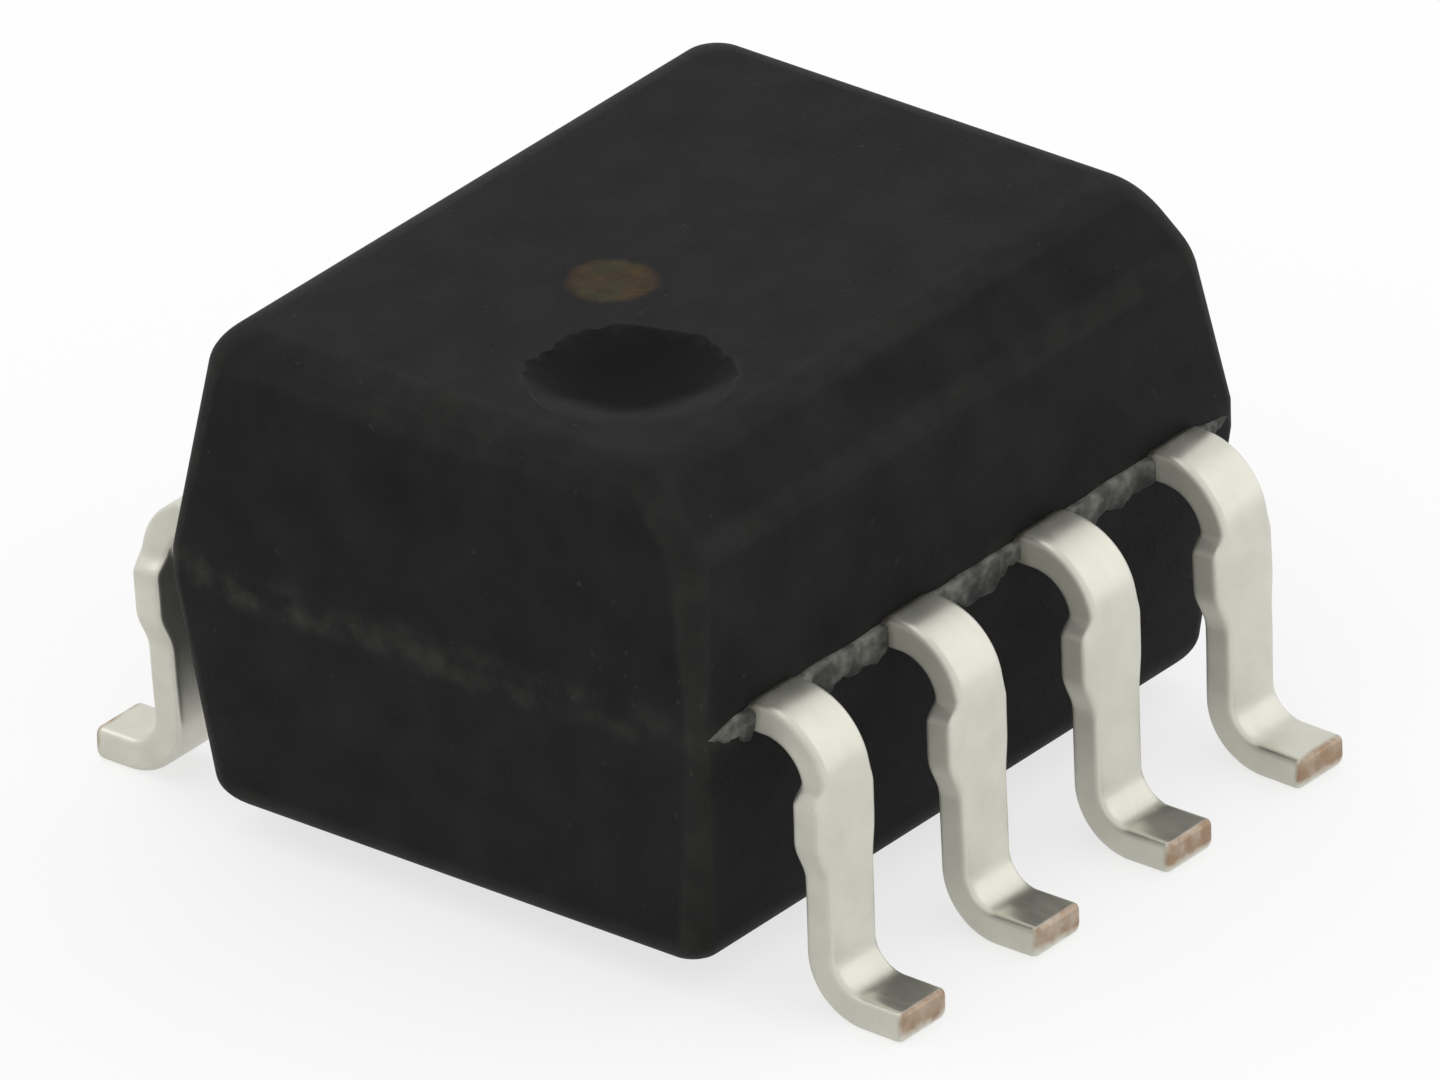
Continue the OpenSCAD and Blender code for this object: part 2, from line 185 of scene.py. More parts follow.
class MouldingSettings(bpy.types.PropertyGroup):
    """Sizes and colours of the moulded body and its flash"""

    draft: angle("Draft", "Slope of the sides above the leads", 7)
    lower_draft: angle("Lower draft", "Slope of the sides below the leads", 5.5)
    edge_radius: length("Edge radius", "Rounding of the edges round the top", 0.27)
    lower_radius: length("Lower radius", "Rounding of the edges round the underside", 0.21)
    corner_radius: length("Corner radius", "Rounding of the upright corners at the parting line", 0.09)
    corner_top: length("Upper corner", "Rounding of the upright corners at the top", 0.2)
    corner_low: length("Lower corner", "Rounding of the upright corners at the underside", 0.16)
    bevel_width: length("Bevel width", "Width of the bevel beside leads 1 to 4, seen from above", 0.37)
    bevel_radius: length("Bevel radius", "Rounding of the bevel's two edges", 0.29)
    dimple_diameter: length("Dimple diameter", "Width of the round dimple in the top", 1.24)
    dimple_depth: length("Dimple depth", "Depth of the dimple's bowl", 0.25)
    dimple_x: length("Dimple X", "Middle of the dimple along the rows of leads", -1.405)
    dimple_y: length("Dimple Y", "Middle of the dimple across the rows of leads", -0.605)
    dimple_shift: length("Dimple shift", "How far the deepest place lies from the dimple's middle", 0.22)
    steep_side: angle("Steep side", "Direction of the dimple's steep wall, from the rows of leads", 40)
    rim_radius: length("Rim radius", "Rounding of the dimple's rim", 0.016)
    rim_raggedness: length("Rim raggedness", "How far the rim wanders from a true circle", 0.016)
    flash_reach: length("Flash reach", "How far the flash stands out from the sides", 0.06)
    compound: colour("Compound", "Colour of the moulding compound", (0.0135, 0.0135, 0.0137))
    flash: colour("Flash", "Colour of thin flash, where the compound is pale", (0.075, 0.075, 0.066))
    dot: colour("Index dot", "Colour of the printed index dot", (0.060, 0.038, 0.019))
    dot_diameter: length("Dot diameter", "Width of the printed index dot", 0.57)
    dot_x: length("Dot X", "Middle of the dot along the rows of leads", -0.538)
    dot_y: length("Dot Y", "Middle of the dot across the rows of leads", 0.212)


class LeadSettings(bpy.types.PropertyGroup):
    """Sizes and colours of the formed leads"""

    width: length("Width", "Width of a lead", 0.43)
    thickness: length("Thickness", "Thickness of the lead frame", 0.18)
    shoulder_length: length("Shoulder length", "Straight run between the body and the shoulder", 0.12)
    shoulder_radius: length("Shoulder radius", "Inner radius of the bend at the shoulder", 0.26)
    heel_radius: length("Heel radius", "Inner radius of the bend at the heel", 0.23)
    near_lean: angle("Near lean", "Outward lean of legs 1 to 4 from the vertical", 1)
    far_lean: angle("Far lean", "Outward lean of legs 5 to 8 from the vertical", -4)
    near_tip: length("Near tip", "How much farther out than the solids leads 1 to 4 end", 0.065)
    far_tip: length("Far tip", "How much farther out than the solids leads 5 to 8 end", -0.075)
    stub_reach: length("Stub reach", "How far the trimmed dam bar stands out towards leads 1 and 8", 0.095)
    stub_rest: length("Stub rest", "How far the trimmed dam bar stands out on the other side", 0.025)
    stub_height: length("Stub height", "Height of the dam bar's trimmed ends", 0.44)
    stub_level: length("Stub level", "Middle of the dam bar above the board", 1.245)
    step_start: length("Step start", "Level run inside the body before the frame steps", 0.3)
    step_run: length("Step run", "Length of the sloping step inside the body", 0.45)
    edge_radius: length("Edge radius", "Rounding of a lead's stamped edges", 0.042)
    build_up: length("Build-up", "How far the tin stands on a lead's outer face", 0.025)
    trim_round: length("Trim round", "Rounding that the trimming tool drags under a tip", 0.07)
    tin: colour("Tin", "Colour of the tin plating", (0.63, 0.622, 0.545))
    copper: colour("Copper", "Colour of the bare metal at a trimmed tip", (0.33, 0.215, 0.135))
    stain: colour("Stain", "Colour of the stain where a lead leaves the moulding", (0.16, 0.14, 0.09))


class StageSettings(bpy.types.PropertyGroup):
    """Floor, lamps and camera"""

    floor: colour("Floor", "Colour of the floor", (0.9, 0.9, 0.9))
    floor_size: length("Floor size", "Side of the square floor", 800)
    azimuth: angle("Azimuth", "Turn of the camera round the part", -51.262)
    elevation: angle("Elevation", "Height of the camera above the horizon", 28.098)
    roll: angle("Roll", "Turn of the picture about the line of sight", -1.418)
    distance: length("Distance", "Camera's distance from its target", 243)
    target_height: length("Target height", "Height above the floor that the camera turns about", 1.555)
    slide_right: length("Slide right", "Slide of the camera to its right", 0.09)
    slide_up: length("Slide up", "Slide of the camera upwards", -0.089)
    pixels_per_mm: FloatProperty(
        name="Pixels per millimetre", description="Scale of the picture at the target", default=170.51
    )
    key_power: FloatProperty(name="Key", description="Power of the lamp behind", default=0.06, unit="POWER")
    fill_power: FloatProperty(name="Fill", description="Power of the side lamp", default=0.1, unit="POWER")
    ambient: FloatProperty(name="Ambient", description="Light from all round", default=0.95)


# Surfaces


def ragged(along, first, last, seed):
    """A seeded wobble round a loop: the sum of a sine for each count of waves from first to last, with a
    mean square of one."""
    draw = np.random.default_rng(seed)
    counts = np.arange(first, last + 1)
    phases = draw.uniform(0, 2 * np.pi, len(counts))
    weights = draw.uniform(0.4, 1.0, len(counts))
    waves = weights * np.sin(2 * np.pi * counts * np.asarray(along)[..., None] + phases)
    return waves.sum(-1) / np.sqrt((weights ** 2).sum() / 2)


def even_sides(wide_steps, deep_steps):
    """Shares at which points divide the far, left, near and right side of a rectangle evenly."""
    wide, deep = np.arange(1, wide_steps) / wide_steps, np.arange(1, deep_steps) / deep_steps
    return wide, deep, wide, deep


def cross(a, b):
    """Twice the area that two flat vectors span."""
    return a[..., 0] * b[..., 1] - a[..., 1] * b[..., 0]


def seen_evenly(start, end, middle, step):
    """Shares of a straight side at which lines that turn about a middle by even steps cross it: a line
    along w from the middle crosses the side that runs from a by d at the share a x w over w x d."""
    a, b = np.subtract(start, middle), np.subtract(end, middle)
    turn = math.atan2(cross(a, b), a @ b)
    count = max(2, math.ceil(abs(turn) / step))
    angles = math.atan2(a[1], a[0]) + turn * np.arange(1, count) / count
    way = np.stack([np.cos(angles), np.sin(angles)], -1)
    return cross(a, way) / cross(way, b - a)


def rounded_rings(left, right, near, far, radius, shares, corner_steps):
    """Rounded rectangles, one for each entry of the arrays: each corner is a quarter circle about a point
    one radius inside both sides, and the points of a straight side divide it at the given shares."""
    turn = np.linspace(0, np.pi / 2, corner_steps + 1)
    middles = (
        (right - radius, far - radius),
        (left + radius, far - radius),
        (left + radius, near + radius),
        (right - radius, near + radius),
    )
    corners = [
        np.stack(
            [
                x[:, None] + radius[:, None] * np.cos(turn + quarter * np.pi / 2),
                y[:, None] + radius[:, None] * np.sin(turn + quarter * np.pi / 2),
            ],
            -1,
        )
        for quarter, (x, y) in enumerate(middles)
    ]
    parts = []
    for quarter, along in enumerate(shares):
        start, end = corners[quarter][:, -1:], corners[(quarter + 1) % 4][:, :1]
        parts += [corners[quarter], start + (end - start) * along[:, None]]
    return np.concatenate(parts, 1)


def closed_surface(rings):
    """Points and faces of a closed surface: neighbouring rings are joined by four-sided faces, and the
    first and last ring are closed by a fan to the mean of their points. Rings turn anticlockwise about
    the way they go."""
    count, around = rings.shape[:2]
    points = np.concatenate([rings.reshape(-1, 3), rings[:1].mean(1), rings[-1:].mean(1)])
    row = np.arange(count - 1)[:, None] * around
    here = np.arange(around)
    there = (here + 1) % around
    quads = np.stack([row + here, row + there, row + around + there, row + around + here], -1)
    first, last = count * around, (count - 1) * around
    start = np.stack([np.full(around, first), there, here], -1)
    end = np.stack([np.full(around, first + 1), last + here, last + there], -1)
    return points, quads.reshape(-1, 4).tolist() + start.tolist() + end.tolist()


def turning(rings):
    """How sharply a surface turns at each point of its rings, as one over the radius: the change of the
    normal along the rings or across them, over the distance. Hollows count as flat."""
    def around(values):
        return np.roll(values, -1, 1) - np.roll(values, 1, 1)

    normal = np.cross(around(rings), np.gradient(rings, axis=0))
    normal /= np.maximum(np.linalg.norm(normal, axis=-1, keepdims=True), TINY)
    turns = [
        (change(normal) * change(rings)).sum(-1) / np.maximum((change(rings) ** 2).sum(-1), TINY)
        for change in (around, lambda values: np.gradient(values, axis=0))
    ]
    return np.maximum(*turns).clip(0)


def new_piece(name, surfaces, material, replaced=()):
    """A mesh object made of closed surfaces, which rides on the part, smooth but for its sharp edges."""
    points, faces, count = [], [], 0
    for surface_points, surface_faces in surfaces:
        points.append(surface_points)
        faces += [[i + count for i in face] for face in surface_faces]
        count += len(surface_points)
    mesh = bpy.data.meshes.new(name)
    mesh.from_pydata(np.concatenate(points).tolist(), [], faces)
    mesh.polygons.foreach_set("use_smooth", np.ones(len(mesh.polygons), bool))
    mesh.set_sharp_from_angle(angle=SHARP_EDGE)
    mesh.materials.append(material)
    piece = bpy.data.objects.new(name, mesh)
    bpy.context.scene.collection.objects.link(piece)
    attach(piece, "root")
    if replaced:
        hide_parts(*replaced)
    return piece


# Moulded body


class Moulding:
    """Form of the moulding: how far its faces lie from the middle at each height."""

    def __init__(self, settings, thickness):
        self.top, self.bottom = BODY_HIGH.z, BODY_LOW.z
        self.band_top, self.band_bottom = BAND_TOP, BAND_TOP - thickness
        self.half_length = BODY_HIGH.x
        self.half_width = BODY_HIGH.y - settings.flash_reach
        self.draft, self.lower_draft = settings.draft, settings.lower_draft
        self.radius, self.lower_radius = settings.edge_radius, settings.lower_radius
        self.bevel_radius = settings.bevel_radius
        self.corner = settings.corner_radius
        self.corner_top, self.corner_low = settings.corner_top, settings.corner_low
        # Middles of the roundings above and below the bevel, as distances from the middle and heights
        slope = math.tan(self.draft)
        edge = self.half_width - settings.bevel_width - (self.top - self.band_top) * slope
        self.bevel_top = edge - (math.sqrt(2) - 1) * self.bevel_radius
        low = self.top + edge - math.sqrt(2) * self.bevel_radius - self.half_width
        low += self.bevel_radius / math.cos(self.draft) - self.band_top * slope
        self.bevel_low = low / (1 - slope)
        rise = self.bevel_low - self.band_top
        self.bevel_foot = self.middle(self.half_width, rise, self.draft, self.bevel_radius)

    @staticmethod
    def middle(half, rise, draft, radius):
        """Where the middle of a rounding lies that touches a drafted face, at a rise outside the band."""
        return half - (rise * math.sin(draft) + radius) / math.cos(draft)

    @staticmethod
    def arc(radius, past):
        """Half chord of a rounding at a height past its middle."""
        return np.sqrt(np.maximum(radius ** 2 - past ** 2, 0))

    def drafted(self, half, outside, room, draft, radius):
        """A face that slopes away from the band and is rounded over in the last part of its room."""
        past = outside - (room - radius)
        rounded = self.middle(half, room - radius, draft, radius) + self.arc(radius, past)
        return np.where(past > radius * math.sin(draft), rounded, half - outside * math.tan(draft))

    def side(self, half, z):
        """A plain side: upright in the band, drafted outside it, and rounded over at both ends."""
        above, below = np.maximum(z - self.band_top, 0), np.maximum(self.band_bottom - z, 0)
        upper = self.drafted(half, above, self.top - self.band_top, self.draft, self.radius)
        room = self.band_bottom - self.bottom
        lower = self.drafted(half, below, room, self.lower_draft, self.lower_radius)
        return np.where(z > self.band_bottom, upper, lower)

    def bevelled_side(self, z):
        """The side beside leads 1 to 4: drafted, rounded, at 45 degrees, and rounded over at the top."""
        radius = self.bevel_radius
        touch = radius / math.sqrt(2)
        low, high = z - self.bevel_low, z - (self.top - radius)
        return np.select(
            [high > touch, low > touch, low > radius * math.sin(self.draft)],
            [
                self.bevel_top + self.arc(radius, high),
                self.bevel_foot + 2 * touch - low,
                self.bevel_foot + self.arc(radius, low),
            ],
            self.side(self.half_width, z),
        )

    def corners(self, z):
        """Rounding of the upright corners, which grows evenly from the band to the top and underside."""
        return np.interp(
            z,
            [self.bottom, self.band_bottom, self.band_top, self.top],
            [self.corner_low, self.corner, self.corner, self.corner_top],
        )

    def heights(self):
        """Heights of the rings, with a count for each stretch: close together on the roundings, and with
        each change of slope among them."""
        turn = np.linspace(self.draft, np.pi / 2, 15)
        bend = np.linspace(np.pi / 4, np.pi / 2, 9)
        foot = self.bevel_low + self.bevel_radius * np.sin(np.linspace(self.draft, np.pi / 4, 8))
        lower_turn = np.linspace(self.lower_draft, np.pi / 2, 13)
        levels = np.sort(np.concatenate([
            self.bottom + self.lower_radius * (1 - np.sin(lower_turn)),
            np.linspace(self.bottom + self.lower_radius, self.band_bottom, 14),
            np.linspace(self.band_bottom, self.band_top, 5),
            np.linspace(self.band_top, foot[0], 12),
            foot,
            np.linspace(foot[-1], self.top - self.radius, 6),
            self.top - self.radius * (1 - np.sin(turn)),
            self.top - self.bevel_radius * (1 - np.sin(bend)),
        ]))
        return levels[np.concatenate([[True], np.diff(levels) > 1e-4 * self.radius])]


def dimple_rings(settings, form, middle, spoke):
    """Rings of the dimple, with one point on each spoke. On the steep side they pass over a rounded rim
    and down a bowl: two arcs that touch, of which the bowl's goes through the rim's width and the depth.
    On the side towards the nearest corner they sink along a ramp with two rounded ends instead, and they
    move away from that side as they sink. Waves make the steep side's rim ragged."""
    rim, wall, depth = settings.rim_radius, settings.dimple_diameter / 2, settings.dimple_depth
    bowl = (wall ** 2 + depth ** 2) / (2 * depth)
    crest = math.sqrt((bowl + rim) ** 2 - (bowl + rim - depth) ** 2)
    steepest = math.asin(crest / (bowl + rim))
    over = np.linspace(0, steepest, RIM_STEPS + 1)
    down = np.linspace(steepest, LAST_RING, BOWL_STEPS + 1)[1:]
    reach = np.concatenate([crest - rim * np.sin(over), bowl * np.sin(down)])
    fall = np.concatenate([rim * (1 - np.cos(over)), depth - bowl * (1 - np.cos(down))])

    inside = 1 - reach / crest
    curve = np.minimum(inside, 1 - inside) ** 2 / (2 * RAMP_END * (1 - RAMP_END))
    ramp = (inside - RAMP_END / 2) / (1 - RAMP_END)
    soft = depth * np.select([inside < RAMP_END, inside > 1 - RAMP_END], [curve, 1 - curve], ramp)
    steep = np.array([math.cos(settings.steep_side), math.sin(settings.steep_side)])
    gentle = np.interp(spoke @ steep, GENTLE_TO_STEEP, [1, 0])
    gentle = gentle ** 2 * (3 - 2 * gentle)
    level = form.top - fall[:, None] - (soft - fall)[:, None] * gentle

    loop = np.arctan2(spoke[:, 1], spoke[:, 0]) / (2 * np.pi)
    radii = reach[:, None]
    for share, first, last, seed, part in RIM_WAVES:
        wave = settings.rim_raggedness * share * ragged(loop, first, last, seed) * (1 - gentle)
        radii = radii + wave * np.interp(fall, [0, depth * part], [1, 0])[:, None]
    centres = middle + settings.dimple_shift * inside[:, None] * steep
    return np.concatenate([centres[:, None] + radii[:, :, None] * spoke, level[:, :, None]], -1)


def moulding_rings(settings, form):
    """Rings of the whole moulding, from the middle of the underside up the sides to the middle of the
    dimple. On the underside and the sides each ring is level. On the top they pass evenly from the top's
    outline to the dimple's rim, along spokes that point at its middle."""
    z = form.heights()
    middle = np.array([settings.dimple_x, settings.dimple_y])
    left, right = -form.side(form.half_length, z), form.side(form.half_length, z)
    near, far = -form.bevelled_side(z), form.side(form.half_width, z)
    radius = form.corners(z)
    west, east, south, north, round_off = (values[-1] for values in (left, right, near, far, radius))
    straights = (
        ((east - round_off, north), (west + round_off, north)),
        ((west, north - round_off), (west, south + round_off)),
        ((west + round_off, south), (east - round_off, south)),
        ((east, south + round_off), (east, north - round_off)),
    )
    shares = [seen_evenly(start, end, middle, SPOKE_STEP) for start, end in straights]
    outline = rounded_rings(left, right, near, far, radius, shares, CORNER_STEPS)
    sides = np.concatenate([outline, np.broadcast_to(z[:, None, None], (*outline.shape[:2], 1))], -1)
    inward = np.linspace(LAST_RING, 1, UNDERSIDE_RINGS + 1)[:-1]
    underside = sides[0] * np.stack([inward, inward, np.ones_like(inward)], -1)[:, None, :]
    away = outline[-1] - middle
    dimple = dimple_rings(settings, form, middle, away / np.linalg.norm(away, axis=1, keepdims=True))
    across = np.linspace(0, 1, TOP_RINGS + 2)[1:-1, None, None]
    top = sides[-1] + (dimple[0] - sides[-1]) * across
    return np.concatenate([underside, sides, top, dimple])


# Flash


def flash_strip(form, side, start, end, reach, lead_sides, seed):
    """A strip of flash along the parting band from start to end: its section is a flat rounded rectangle
    with its back inside the body. It reaches farthest beside a lead, thins to nothing at an end without
    one, hangs lowest between two leads, and its reach and its upper and lower edges wander along it."""
    along = np.linspace(0, 1, FLASH_STEPS + 1)
    x = start + (end - start) * along
    gap = np.abs(x[:, None] - lead_sides).min(1)
    web = np.exp(-gap / WEB_RUN)
    outermost = np.abs(lead_sides).max()
    fade = np.clip(1 - (np.abs(x) - outermost) / (form.half_length - form.corner - outermost), 0, 1)
    band = form.band_top - form.band_bottom
    loop = along / 2
    out = reach * fade * (PLAIN_REACH + WEB_REACH * web + REACH_WANDER * ragged(loop, 2, 8, seed))
    crumbled = LOW_WANDER * ragged(loop, 2, 7, seed + 1) + LOW_CRUMBLE * ragged(loop, 9, 24, seed + 3)
    low = form.band_bottom + band * (LOW_END + fade * (crumbled - LOW_HANG + WEB_LIFT * web))
    wander = HIGH_WANDER * ragged(loop, 1, 5, seed + 2)
    high = form.band_top + band * (wander - HIGH_DROP - HIGH_END * (1 - fade))
    outer = form.half_width + np.maximum(out, LEAST_REACH * reach)
    inner = np.full_like(outer, form.half_width - reach)
    near, far = (-outer, -inner) if side < 0 else (inner, outer)
    radius = np.full_like(outer, FLASH_ROUND * reach)
    section = rounded_rings(near, far, low, high, radius, even_sides(*FLASH_SIDES), FLASH_CORNER)
    x = np.broadcast_to(x[:, None, None], (*section.shape[:2], 1))
    return closed_surface(np.concatenate([x, section], -1))


# Leads


class BentStrip:
    """A strip's middle line as straight runs and even bends, given as (length, turn) in order. Distances
    are measured along it, places outwards from the middle of the package and up."""

    def __init__(self, start, runs):
        lengths, turns = np.array(runs, float).T
        self.turns = turns
        self.starts = np.concatenate([[0], np.cumsum(lengths)])
        self.headings = np.concatenate([[0], np.cumsum(turns)])
        self.lengths = lengths
        places = [np.array(start, float)]
        for run, turn, heading in zip(lengths, turns, self.headings):
            places.append(places[-1] + self.chord(run, turn, heading))
        self.places = np.array(places)

    @staticmethod
    def chord(run, turn, heading):
        """From a run's start to its end: a bend's chord points halfway between its two headings."""
        reach = run * np.sinc(turn / (2 * np.pi))
        return np.stack([reach * np.cos(heading + turn / 2), reach * np.sin(heading + turn / 2)], -1)

    def at(self, distance):
        """Places and headings at distances along the strip."""
        run = np.clip(np.searchsorted(self.starts, distance, "right") - 1, 0, len(self.lengths) - 1)
        along = distance - self.starts[run]
        part = along / np.maximum(self.lengths[run], TINY)
        turn = self.turns[run] * part
        return self.places[run] + self.chord(along, turn, self.headings[run]), self.headings[run] + turn

    def samples(self, straight, bend):
        """Distances along the strip: no more than straight apart, and bend points on each bend."""
        pieces = [
            np.linspace(start, start + run, bend if turn else max(2, math.ceil(run / straight) + 1))
            for start, run, turn in zip(self.starts, self.lengths, self.turns)
            if run
        ]
        return np.concatenate(pieces)


def lead_path(settings, form, step, inner_end, lean, tip):
    """Middle line of a lead from its inner end to its tip: for a stepped frame a level shelf and a slope,
    then the level run out of the body, the shoulder, the leg, the heel and the foot."""
    plane = form.band_top - settings.thickness / 2
    shoulder = settings.shoulder_radius + settings.thickness / 2
    heel = settings.heel_radius + settings.thickness / 2
    turn = math.pi / 2 - lean
    fall = plane - settings.thickness / 2 - (shoulder + heel) * (1 - math.cos(turn))
    leg = fall / math.sin(turn)
    step_end = form.half_width - settings.step_start
    foot_start = form.half_width + settings.shoulder_length + leg * math.cos(turn)
    foot_start += (shoulder + heel) * math.sin(turn)
    outer = [
        (form.half_width + settings.shoulder_length - (step_end if step else inner_end), 0),
        (shoulder * turn, -turn),
        (leg, 0),
        (heel * turn, turn),
        (tip - foot_start, 0),
    ]
    if not step:
        return BentStrip((inner_end, plane), outer)
    slope = math.atan2(-step, settings.step_run)
    inner = [
        (step_end - settings.step_run - inner_end, 0),
        (0, slope),
        (math.hypot(step, settings.step_run), 0),
        (0, -slope),
    ]
    return BentStrip((inner_end, plane + step), inner + outer)


def lead_rings(settings, path, lean, stubs, pad, seed):
    """Rings of a lead: a rounded rectangle carried square to the middle line. Its two sides step out at
    the trimmed dam bar and at the pad on its inner end, tin builds up on its outer face, its underside
    curves up at the tip, and its ends are eased."""
    half, thick, eased = settings.width / 2, settings.thickness / 2, settings.edge_radius
    end = path.starts[-1]
    leg = len(path.lengths) - 3
    down = (path.places[leg][1] - settings.stub_level) / math.cos(lean)
    stub = path.starts[leg] + down + settings.stub_height / 2 * np.array([-1, 1])
    root = path.starts[leg - 1] - settings.shoulder_length
    pad_length, pad_left, pad_right = pad
    fine = np.concatenate([
        *(edge + run * np.linspace(-0.5, 0.5, STUB_POINTS) for edge, run in zip(stub, STUB_RUNS)),
        [pad_length, pad_length + PAD_RUN, root, root + TIN_RUN],
        np.linspace(0, eased, EASE_POINTS),
        end - settings.trim_round * (1 - np.sin(np.linspace(0, np.pi / 2, TRIM_POINTS))),
    ])
    samples = np.concatenate([path.samples(LEAD_STEP, BEND_POINTS), fine])
    s = np.unique(np.round(samples / LEAD_GRID)) * LEAD_GRID
    s = s[s <= end]
    place, heading = path.at(s)
    wander = LEAD_WANDER * ragged(s / end * 0.5, 2, 9, seed)
    inside = np.minimum((s - stub[0]) / STUB_RUNS[0], (stub[1] - s) / STUB_RUNS[1])
    on_stub = 0.5 + 0.5 * np.sin(np.pi * np.clip(inside, -0.5, 0.5))
    on_pad = np.interp(s, [pad_length, pad_length + PAD_RUN], [1, 0])
    plated = np.interp(s, [root, root + TIN_RUN], [0, 1])
    ease = np.maximum(eased - np.minimum(s, end - s), 0)
    ease = eased - np.sqrt(np.maximum(eased ** 2 - ease ** 2, 0))
    drag = np.clip(1 - (end - s) / settings.trim_round, 0, 1)
    dragged = settings.trim_round * (1 - np.sqrt(1 - drag ** 2))
    left = -half - on_stub * stubs[0] - on_pad * pad_left + ease + wander
    right = half + on_stub * stubs[1] + on_pad * pad_right - ease + wander
    low = -thick + ease * EASE_UNDER + dragged * TRIM_RISE
    high = thick + settings.build_up * plated - ease * EASE_OUTER
    radius = np.minimum(settings.edge_radius, (high - low) * EDGE_SHARE)
    section = rounded_rings(left, right, low, high, radius, even_sides(*LEAD_SIDES), LEAD_CORNER)
    up = np.stack([-np.sin(heading), np.cos(heading)], -1)
    flat = place[:, None, :] + section[:, :, 1:] * up[:, None, :]
    return np.stack([section[:, :, 0], -flat[:, :, 0], flat[:, :, 1]], -1)


def plate(left, right, near, far, low, high):
    """A flat plate with plain edges, as two rounded rectangles one above the other."""
    z = np.array([low, high])
    sides = (np.full(2, side) for side in (left, right, near, far, PLATE_ROUND))
    section = rounded_rings(*sides, even_sides(*PLATE_SIDES), PLATE_CORNER)
    levels = np.broadcast_to(z[:, None, None], (*section.shape[:2], 1))
    return closed_surface(np.concatenate([section, levels], -1))


# Materials


def put(tree, kind, inputs=None, **settings):
    """Adds a shader node, sets its settings and fills its inputs, each with a value or a link."""
    made = tree.nodes.new("ShaderNode" + kind)
    for key, value in settings.items():
        setattr(made, key, value)
    for key, value in (inputs or {}).items():
        value = value.socket if isinstance(value, Value) else value
        if isinstance(value, bpy.types.NodeSocket):
            tree.links.new(value, made.inputs[key])
        else:
            made.inputs[key].default_value = value
    return made


class Value:
    """A number that a shader node gives, for sums with other such numbers and plain ones."""

    def __init__(self, tree, socket):
        self.tree = tree
        self.socket = socket

    def sum(self, operation, *numbers):
        """The outcome of one sum, such as ADD or MULTIPLY."""
        made = put(self.tree, "Math", dict(enumerate(numbers)), operation=operation)
        return Value(self.tree, made.outputs[0])

    def __add__(self, other):
        return self.sum("ADD", self, other)

    def __sub__(self, other):
        return self.sum("SUBTRACT", self, other)

    def __rsub__(self, other):
        return self.sum("SUBTRACT", other, self)

    def __mul__(self, other):
        return self.sum("MULTIPLY", self, other)

    def __abs__(self):
        return self.sum("ABSOLUTE", self)

    def larger(self, other):
        """The larger of two numbers."""
        return self.sum("MAXIMUM", self, other)

    def spread(self, low, high, start=0.0, end=1.0, smooth=False):
        """Maps low to start and high to end, and holds there."""
        inputs = {"Value": self, "From Min": low, "From Max": high, "To Min": start, "To Max": end}
        kind = "SMOOTHSTEP" if smooth else "LINEAR"
        made = put(self.tree, "MapRange", inputs, interpolation_type=kind, clamp=True)
        return Value(self.tree, made.outputs["Result"])

    def vary(self, start=0.0, end=1.0):
        """Maps the range of a noise to start and end."""
        return self.spread(NOISE_LOW, NOISE_HIGH, start, end)


class Paint:
    """A material in the making, with its shader and the piece's own coordinates in millimetres."""

    def __init__(self, name, **values):
        self.material = bpy.data.materials.new(name)
        self.material.use_nodes = True
        self.tree = self.material.node_tree
        self.shader = self.tree.nodes["Principled BSDF"]
        for key, value in values.items():
            self.shader.inputs[key.replace("_", " ")].default_value = value
        self.where = self.scaled(put(self.tree, "TexCoord").outputs["Object"], (1 / MM,) * 3)

    def scaled(self, place, factors):
        """A place with each of its coordinates multiplied."""
        return put(self.tree, "VectorMath", {0: place, 1: factors}, operation="MULTIPLY").outputs[0]

    def number(self, output, kind, inputs=None, **settings):
        """One of the numbers that a new node gives."""
        return Value(self.tree, put(self.tree, kind, inputs, **settings).outputs[output])

    def axis(self, name, place=None):
        """One coordinate of a place."""
        return self.number(name, "SeparateXYZ", {0: self.where if place is None else place})

    def distance(self, middle, place=None):
        """How far a place is from a middle."""
        inputs = {0: self.where if place is None else place, 1: middle}
        return self.number("Value", "VectorMath", inputs, operation="DISTANCE")

    def noise(self, size, detail=4.0, roughness=0.55, place=None):
        """Cloudy noise from 0 to 1, with patches of about the given size in millimetres."""
        place = self.where if place is None else place
        inputs = {"Vector": place, "Scale": 1 / size, "Detail": detail, "Roughness": roughness}
        return self.number("Fac", "TexNoise", inputs)

    def mix(self, share, a, b):
        """Passes from colour a to colour b."""
        a, b = ((*c, 1) if isinstance(c, tuple) else c for c in (a, b))
        return put(self.tree, "Mix", {0: share, 6: a, 7: b}, data_type="RGBA").outputs[2]

    def finish(self, base, roughness, height=None, millimetres=0.0):
        """Links colour, roughness and a height from 0 to 1 that raises the surface by a size."""
        self.tree.links.new(base, self.shader.inputs["Base Color"])
        self.tree.links.new(roughness.socket, self.shader.inputs["Roughness"])
        if height is not None:
            inputs = {"Height": height, "Strength": 1.0, "Distance": millimetres * MM}
            raised = put(self.tree, "Bump", inputs).outputs["Normal"]
            self.tree.links.new(raised, self.shader.inputs["Normal"])
        return self.material


def shade(value, times):
    """A colour made lighter or darker."""
    return tuple(min(channel * times, 1) for channel in value)


